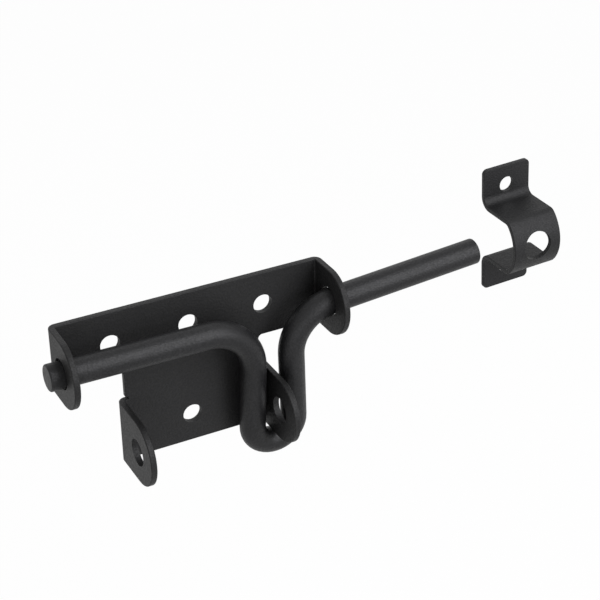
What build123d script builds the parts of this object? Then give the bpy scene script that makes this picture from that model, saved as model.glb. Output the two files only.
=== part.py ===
from build123d import *
import math
import os

# Lock bolt for a gate or door: a folded backplate with four ears, a bent round bar that slides and
# turns in the two upper ears, and a folded keeper that takes the bar's free end.
# Millimetres. +X runs along the bar to its free end, -Y faces the user, +Z is up.
# The origin is the middle screw hole, on the backplate's back face.

# Sheet of the backplate
plate_t = 3.0
plate_fold = 0.8
plate_round = 0.5
sharp_turn = 60.0

# Strip, the upper part that carries the bar
strip_w = 136.0
strip_h = 33.0
ears_off = 1.4
screw_d = 9.6
screw_gap = 38.4

# Bar
bar_d = 12.7
bar_play = 1.0
bar_reach = 12.8
bar_low = 0.35
bar_end_round = 0.9

# Tab, the lower part that carries the padlock ears
tab_w = 75.8
tab_drop = 63.9
tab_neck = 3.5
tab_relief = 1.5
tab_corner = 2.0
tab_screw_drop = 49.2
lock_r = 16.3
lock_reach = 19.6
lock_d = 13.3
lock_hole_drop = 47.6

# Bent shape of the bar
short_end = 73.2
long_end = 147.0
leg_in_x = 27.3
leg_in_foot = 27.1
leg_out_foot = 49.8
leg_out_x = 46.1
handle_drop = 71.5
handle_lean = 4.0
short_tilt = 0.6
long_tilt = 4.6
bend_top_in = 24.0
bend_foot = 10.9
bend_top_out = 22.8

# Keeper
keep_t = 2.3
keep_w = 26.4
keep_x = 175.0
keep_up = 7.3
keep_turn = 2.5
keep_h = 66.4
keep_hat_h = 29.7
keep_depth = 30.2
keep_nose_r = 19.0
keep_fold = 4.0
keep_corner_fold = 2.6
keep_round = 0.4
keep_tip_r = 2.5
keep_screw_d = 8.0
keep_screw_gap = 45.6
keep_eye_d = 15.0
keep_eye_up = 0.5

# Values that follow from the ones above
bar_r = bar_d / 2
ear_hole_r = bar_r + bar_play
strip_top = strip_h / 2
axis_y = -(plate_t + bar_reach)
plate_fold_out = plate_fold + plate_t
strip_left = ears_off - strip_w / 2
strip_right = ears_off + strip_w / 2
lock_y = -(plate_t + lock_reach)
lock_z = lock_r - tab_drop
lock_top = lock_z + lock_r
beyond = strip_w


def box_between(x0, x1, y0, y1, z0, z1):
    middle = Vector((x0 + x1) / 2, (y0 + y1) / 2, (z0 + z1) / 2)
    return Pos(middle) * Box(x1 - x0, y1 - y0, z1 - z0)


def folded_channel(width, reach, z0, z1):
    # Three-sided sheet seen from above: the back and two side walls, with rounded folds
    outer = Pos(0, -reach / 2) * Rectangle(width, reach)
    outer = fillet(outer.vertices().group_by(Axis.Y)[-1], plate_fold_out)
    hollow = Pos(0, -plate_t - reach / 2) * Rectangle(width - 2 * plate_t, reach)
    hollow = fillet(hollow.vertices().group_by(Axis.Y)[-1], plate_fold)
    return Pos(ears_off, 0, z0) * extrude(outer - hollow, z1 - z0)


def side_outline(y, z, radius):
    # Flat behind the hole, a half circle about the hole in front, as a bar along X
    flat = Pos(y / 2, z) * Rectangle(-y, 2 * radius)
    nose = Pos(y, z) * Circle(radius)
    return extrude(Plane.YZ * (flat + nose), beyond, both=True)


def hole_along_y(x, z, d):
    return Pos(x, 0, z) * Rot(90, 0, 0) * Cylinder(d / 2, beyond)


def hole_along_x(y, z, r):
    return Pos(ears_off, y, z) * Rot(0, 90, 0) * Cylinder(r, 2 * beyond)


def outline_edges(sheet, thickness):
    # The square edges along a sheet's outline, without the short ones that cross its thickness
    found = []
    for edge in sheet.edges():
        beside = [face for face in sheet.faces() if any(edge.is_same(other) for other in face.edges())]
        if len(beside) != 2:
            continue
        middle = edge @ 0.5
        turn = beside[0].normal_at(middle).get_angle(beside[1].normal_at(middle))
        crosses = edge.geom_type == GeomType.LINE and edge.length <= thickness
        if turn > sharp_turn and not crosses:
            found.append(edge)
    return found


# Backplate: one sheet, the strip with its two bar ears and the tab with its two padlock ears
strip = folded_channel(strip_w, -axis_y + strip_top, -strip_top, strip_top)
strip = strip & side_outline(axis_y, 0, strip_top)
lock_ears = folded_channel(tab_w, -lock_y + lock_r, -tab_drop, lock_top)
lock_ears = lock_ears & side_outline(lock_y, lock_z, lock_r)
neck_half = tab_w / 2 - tab_neck
root_half = neck_half - tab_relief
relief_top = lock_top + tab_relief
neck = box_between(ears_off - neck_half, ears_off + neck_half, -plate_t, 0, relief_top, -strip_top)
neck_root = box_between(ears_off - root_half, ears_off + root_half, -plate_t, 0, lock_top, relief_top)
backplate = strip + lock_ears + neck + neck_root


def in_neck_corner(edge):
    beside_neck = abs(abs(edge.center().X - ears_off) - neck_half) < plate_round
    under_strip = abs(edge.center().Z + strip_top) < plate_round
    return beside_neck and under_strip


inner_corners = [edge for edge in backplate.edges().filter_by(Axis.Y) if in_neck_corner(edge)]
backplate = fillet(inner_corners, tab_corner)
backplate = fillet(outline_edges(backplate, plate_t), plate_round)
backplate -= [hole_along_y(i * screw_gap, 0, screw_d) for i in (-1, 0, 1)]
backplate -= hole_along_y(0, -tab_screw_drop, screw_d)
backplate -= hole_along_x(axis_y, 0, ear_hole_r)
backplate -= hole_along_x(lock_y, -lock_hole_drop, lock_d / 2)

# Bar: one round bar, a short end, a U-shaped handle and a long arm that rises a little to its free end
short_slope = math.tan(math.radians(short_tilt))
long_slope = math.tan(math.radians(long_tilt))
ear_in_x = strip_left + plate_t / 2
ear_out_x = strip_right - plate_t / 2
corners = [
    (-short_end, (ear_in_x + short_end) * short_slope - bar_low),
    (leg_in_x, (ear_in_x - leg_in_x) * short_slope - bar_low),
    (leg_in_foot, -handle_drop),
    (leg_out_foot, -handle_drop),
    (leg_out_x, (leg_out_x - ear_out_x) * long_slope),
    (long_end, (long_end - ear_out_x) * long_slope),
]
bends = [bend_top_in, bend_foot, bend_foot, bend_top_out]


def bent_wire(points, radii):
    # Straight lengths joined by arcs that touch both neighbours
    edges = []
    start = Vector(*points[0])
    for i, radius in enumerate(radii):
        before, corner, after = Vector(*points[i]), Vector(*points[i + 1]), Vector(*points[i + 2])
        into = (corner - before).normalized()
        out = (after - corner).normalized()
        turn = math.radians(into.get_angle(out))
        run = radius * math.tan(turn / 2)
        arc_start = corner - into * run
        arc_end = corner + out * run
        inward = (out - into).normalized()
        middle = corner + inward * (radius / math.cos(turn / 2) - radius)
        edges.append(Line(start, arc_start))
        edges.append(ThreePointArc(arc_start, middle, arc_end))
        start = arc_end
    edges.append(Line(start, Vector(*points[-1])))
    return Wire(edges)


handle_plane = Plane(origin=(0, axis_y, 0), x_dir=(1, 0, 0), z_dir=(0, -1, 0)).rotated((handle_lean, 0, 0))
bar_path = bent_wire(corners, bends)
bar_start = Plane(origin=bar_path @ 0, z_dir=bar_path % 0)
bolt = sweep(bar_start * Circle(bar_r), path=bar_path)
bar_ends = bolt.faces().filter_by(GeomType.PLANE).edges()
bolt = fillet(bar_ends, bar_end_round)
bolt = handle_plane.location * bolt

# Keeper: one strip folded to a hat with a rounded nose, an eye in the nose and a screw hole in each flange
half_t = keep_t / 2
hat_z = keep_hat_h / 2 - half_t
nose_r = keep_nose_r - half_t
nose_y = -(keep_depth - keep_nose_r)
flange_y = -half_t


def keeper_half(sign):
    # From the flange's end to the middle of the nose, along the middle of the sheet
    fold = keep_fold + half_t
    tight = keep_corner_fold + half_t
    flange_end = Vector(flange_y, sign * keep_h / 2)
    fold_in = Vector(flange_y, sign * (hat_z + fold))
    half_turn = math.radians(45)
    fold_mid_y = flange_y - fold * (1 - math.cos(half_turn))
    fold_mid_z = hat_z + fold - fold * math.sin(half_turn)
    fold_mid = Vector(fold_mid_y, sign * fold_mid_z)
    fold_out = Vector(flange_y - fold, sign * hat_z)
    # The tight fold touches the flat web and the nose's arc from inside
    drop = hat_z - tight
    tight_y = nose_y - math.sqrt((nose_r - tight) ** 2 - drop ** 2)
    tight_mid_dir = Vector(tight_y - nose_y, sign * drop).normalized()
    touch = Vector(nose_y, 0) + tight_mid_dir * nose_r
    web_end = Vector(tight_y, sign * hat_z)
    centre = Vector(tight_y, sign * drop)
    bisector = ((web_end - centre).normalized() + (touch - centre).normalized()).normalized()
    tight_mid = centre + bisector * tight
    return [
        Line(flange_end, fold_in),
        ThreePointArc(fold_in, fold_mid, fold_out),
        Line(fold_out, web_end),
        ThreePointArc(web_end, tight_mid, touch),
    ], touch


upper, upper_touch = keeper_half(1)
lower, lower_touch = keeper_half(-1)
nose = ThreePointArc(upper_touch, Vector(nose_y - nose_r, 0), lower_touch)
keeper_path = Plane.YZ * Wire(upper + [nose] + lower[::-1])
keeper_start = Plane(origin=(0, flange_y, keep_h / 2), x_dir=(1, 0, 0), z_dir=(0, 0, -1))
keeper = sweep(keeper_start * Rectangle(keep_w, keep_t), path=keeper_path)
tips = [e for e in keeper.edges().filter_by(Axis.Y) if abs(abs(e.center().Z) - keep_h / 2) < keep_round]
keeper = fillet(tips, keep_tip_r)
keeper = fillet(outline_edges(keeper, keep_t), keep_round)
keeper -= [hole_along_y(0, i * keep_screw_gap / 2, keep_screw_d) for i in (-1, 1)]
keeper -= Pos(0, -keep_depth, keep_eye_up) * Rot(90, 0, 0) * Cylinder(keep_eye_d / 2, keep_depth)
# It is set turned a little, with its far side higher
keeper = Pos(keep_x, 0, keep_up) * Rot(0, -keep_turn, 0) * keeper

os.makedirs("parts", exist_ok=True)
for name, solid in (("backplate", backplate), ("bolt", bolt), ("keeper", keeper)):
    export_step(solid, f"parts/{name}.step")
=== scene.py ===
import math
import bpy
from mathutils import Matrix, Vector

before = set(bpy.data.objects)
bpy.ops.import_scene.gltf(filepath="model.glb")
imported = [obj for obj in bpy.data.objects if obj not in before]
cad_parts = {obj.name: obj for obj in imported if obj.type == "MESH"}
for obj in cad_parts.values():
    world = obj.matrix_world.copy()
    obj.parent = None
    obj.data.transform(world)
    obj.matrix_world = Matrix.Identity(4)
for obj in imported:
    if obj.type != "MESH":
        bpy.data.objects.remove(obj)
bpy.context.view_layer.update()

# View of the bolt from its short end, a little above, with the keeper at the far end.
# The lens is long, so the bar tapers only slightly towards its free end.
camera_place = (-0.25380, -0.60807, 0.38346)
camera_turn = (60.386, 0.748, -27.695)
bpy.ops.object.select_all(action="DESELECT")
bpy.ops.object.camera_add(location=camera_place)
camera = bpy.context.object
camera.name = "camera"
camera.rotation_euler = [math.radians(angle) for angle in camera_turn]
camera.data.sensor_width = 36.0
camera.data.lens = 98.98
camera.data.clip_start = 0.05
camera.data.clip_end = 20.0
bpy.context.scene.camera = camera
bpy.context.scene.view_settings.view_transform = "Standard"

# Backplate: mild steel sheet, punched and folded, then powder coated black.
# The coat is a fine sand texture of low sheen, even over faces, folds and cut edges.
# Its grains stand on slower swells, and faint clouds show where it was sprayed thicker.
sand_scale = 1050.0
swell_scale = 420.0
cloud_scale = 38.0
grain_contrast = 2.6
cloud_contrast = 2.0
grain_tint = 0.75
cloud_tint = 0.25
grain_height = 0.9
swell_height = 0.2
relief_depth = 0.00022
grain_gloss = 0.10
cloud_dullness = 0.06


class Socket:
    def __init__(self, tree, out=None):
        self.tree = tree
        self.out = out

    def node(self, kind, settings, inputs, output=0):
        made = self.tree.nodes.new(kind)
        for key, value in settings.items():
            setattr(made, key, value)
        for key, value in inputs.items():
            if isinstance(value, Socket):
                self.tree.links.new(value.out, made.inputs[key])
            else:
                made.inputs[key].default_value = value
        return Socket(self.tree, made.outputs[output] if made.outputs else None)

    def maths(self, operation, first, second, clamp=False):
        settings = {"operation": operation, "use_clamp": clamp}
        return self.node("ShaderNodeMath", settings, {0: first, 1: second})

    def clamped(self):
        return self.maths("ADD", self, 0.0, clamp=True)

    def __add__(self, other):
        return self.maths("ADD", self, other)

    def __radd__(self, other):
        return self.maths("ADD", other, self)

    def __sub__(self, other):
        return self.maths("SUBTRACT", self, other)

    def __rsub__(self, other):
        return self.maths("SUBTRACT", other, self)

    def __mul__(self, other):
        return self.maths("MULTIPLY", self, other)

    def __rmul__(self, other):
        return self.maths("MULTIPLY", other, self)


def empty_material(name):
    material = bpy.data.materials.new(name)
    material.use_nodes = True
    material.node_tree.nodes.clear()
    return material, Socket(material.node_tree)


def coat_noise(start, place, scale, detail, roughness):
    inputs = {"Vector": place, "Scale": scale, "Detail": detail, "Roughness": roughness}
    return start.node("ShaderNodeTexNoise", {}, inputs)


def contrasted(noise, contrast):
    return ((noise - 0.5) * contrast + 0.5).clamped()


def powder_coat(name, shade, offset, fleck, dull, sheen, grit):
    coat, start = empty_material(name)
    place = start.node("ShaderNodeTexCoord", {}, {}, "Object")
    moved = start.node("ShaderNodeMapping", {}, {"Vector": place, "Location": (offset, offset, offset)})
    sand = coat_noise(start, moved, sand_scale, detail=1.5, roughness=0.6)
    swell = coat_noise(start, moved, swell_scale, detail=1.0, roughness=0.5)
    cloud = coat_noise(start, moved, cloud_scale, detail=3.0, roughness=0.5)
    grain = contrasted(sand, grain_contrast)
    patch = contrasted(cloud, cloud_contrast)
    dark = tuple(value * (1.0 - fleck) for value in shade) + (1.0,)
    pale = tuple(value * (1.0 + fleck) for value in shade) + (1.0,)
    first_colour, second_colour, mixed_colour = 6, 7, 2
    tint = start.node(
        "ShaderNodeMix", {"data_type": "RGBA"},
        {"Factor": grain * grain_tint + patch * cloud_tint, first_colour: dark, second_colour: pale},
        mixed_colour)
    height = grain * grain_height + swell * swell_height
    relief = start.node("ShaderNodeBump", {}, {"Strength": grit, "Distance": relief_depth, "Height": height})
    roughness = dull + patch * cloud_dullness - grain * grain_gloss
    surface = start.node(
        "ShaderNodeBsdfPrincipled", {},
        {"Base Color": tint, "Roughness": roughness, "Normal": relief, "Specular IOR Level": sheen})
    start.node("ShaderNodeOutputMaterial", {}, {"Surface": surface})
    return coat


def coat_node(node, coat):
    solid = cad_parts[node]
    for place in solid.material_slots:
        place.material = coat


plate_coat = powder_coat(
    "plate_powder", shade=(0.0098, 0.0098, 0.0099), offset=0.0,
    fleck=0.34, dull=0.56, sheen=0.22, grit=0.50)
coat_node("backplate", plate_coat)

# Bar: one length of round mild steel bar, cold bent to its U-shaped handle and coated the same black.
# Its coat is laid on a smooth drawn surface, so it shows a soft streak of light along its top.
bar_coat = powder_coat(
    "bar_powder", shade=(0.0080, 0.0080, 0.0086), offset=0.31,
    fleck=0.60, dull=0.49, sheen=0.265, grit=0.35)
coat_node("bolt", bar_coat)

# Keeper: a strip of mild steel sheet, pressed to a hat with a rounded nose and coated the same black.
# The sheet is thinner than the backplate's, and its nose catches a little more light.
keeper_coat = powder_coat(
    "keeper_powder", shade=(0.0094, 0.0094, 0.0098), offset=0.67,
    fleck=0.30, dull=0.56, sheen=0.23, grit=0.45)
coat_node("keeper", keeper_coat)

# Floor: a pale matt surface well below the bolt.
# It is pale to the eye and in the coat's sheen, and keeps the soft shadow that falls on it.
floor_width = 12.0
floor_level = -0.34
white_share = 0.97


def grey(value):
    return (value, value, value, 1.0)


def seen_as_white(start):
    eye, sheen, through = (start.node("ShaderNodeLightPath", {}, {}, ray) for ray in (
        "Is Camera Ray", "Is Glossy Ray", "Is Transmission Ray"))
    return eye + sheen + through


bpy.ops.object.select_all(action="DESELECT")
bpy.ops.mesh.primitive_plane_add(size=floor_width, location=(0.0, 0.0, floor_level))
floor = bpy.context.object
floor.name = "floor"
bpy.ops.object.transform_apply(location=True, rotation=True, scale=True)
paper, paper_start = empty_material("paper")
seen = seen_as_white(paper_start)
matt = paper_start.node("ShaderNodeBsdfDiffuse", {}, {"Color": grey(0.86)})
glow = paper_start.node("ShaderNodeEmission", {}, {"Color": grey(1.0), "Strength": 1.0})
mixed = paper_start.node("ShaderNodeMixShader", {}, {0: seen * white_share, 1: matt, 2: glow})
paper_start.node("ShaderNodeOutputMaterial", {}, {"Surface": mixed})
floor.data.materials.append(paper)

# Room: white behind everything, and a dim even grey as the light that comes from all round.
# In that grey the black coat stays dark wherever the lamps don't reach.
world = bpy.data.worlds.new("room")
world.use_nodes = True
bpy.context.scene.world = world
world.node_tree.nodes.clear()
room = Socket(world.node_tree)
dim = room.node("ShaderNodeBackground", {}, {"Color": grey(0.62), "Strength": 0.60})
white = room.node("ShaderNodeBackground", {}, {"Color": grey(1.0), "Strength": 1.0})
shown = room.node("ShaderNodeMixShader", {}, {0: seen_as_white(room), 1: dim, 2: white})
room.node("ShaderNodeOutputWorld", {}, {"Surface": shown})

# Lamps on the right: one soft box high and one low, which together draw the broad streak along the bar.
# The low one also lays the bar's soft shadow on the plate close behind it.
bolt_middle = (0.02, -0.02, -0.02)
lamp_colour = (0.965, 0.965, 1.0)


def soft_box(name, place, aim, width, height, power):
    bpy.ops.object.light_add(type="AREA", location=place)
    lamp = bpy.context.object
    lamp.name = name
    lamp.data.shape = "RECTANGLE"
    lamp.data.size = width
    lamp.data.size_y = height
    lamp.data.energy = power
    lamp.data.color = lamp_colour
    away = lamp.location - Vector(aim)
    lamp.rotation_euler = away.to_track_quat("Z", "Y").to_euler()


soft_box("high_box", (0.590, -1.000, 1.170), bolt_middle, width=0.80, height=0.70, power=14.5)
soft_box("low_box", (0.690, -1.465, 0.430), bolt_middle, width=0.80, height=0.75, power=13.5)

# Lamp on the left: a small weak soft box low down, for the sheen on the handle's upright legs.
# Without it the legs are lit from one side alone.
soft_box("left_box", (-0.780, -1.300, -0.060), bolt_middle, width=0.45, height=0.45, power=3.0)

# Rim lamp: a small soft box above and behind, which lifts the upper edges off the dark faces.
# It is weak, so that the front stays lit by the other boxes.
soft_box("rim_box", (0.25, 0.66, 0.68), (0.05, -0.02, -0.02), width=0.50, height=0.50, power=1.0)
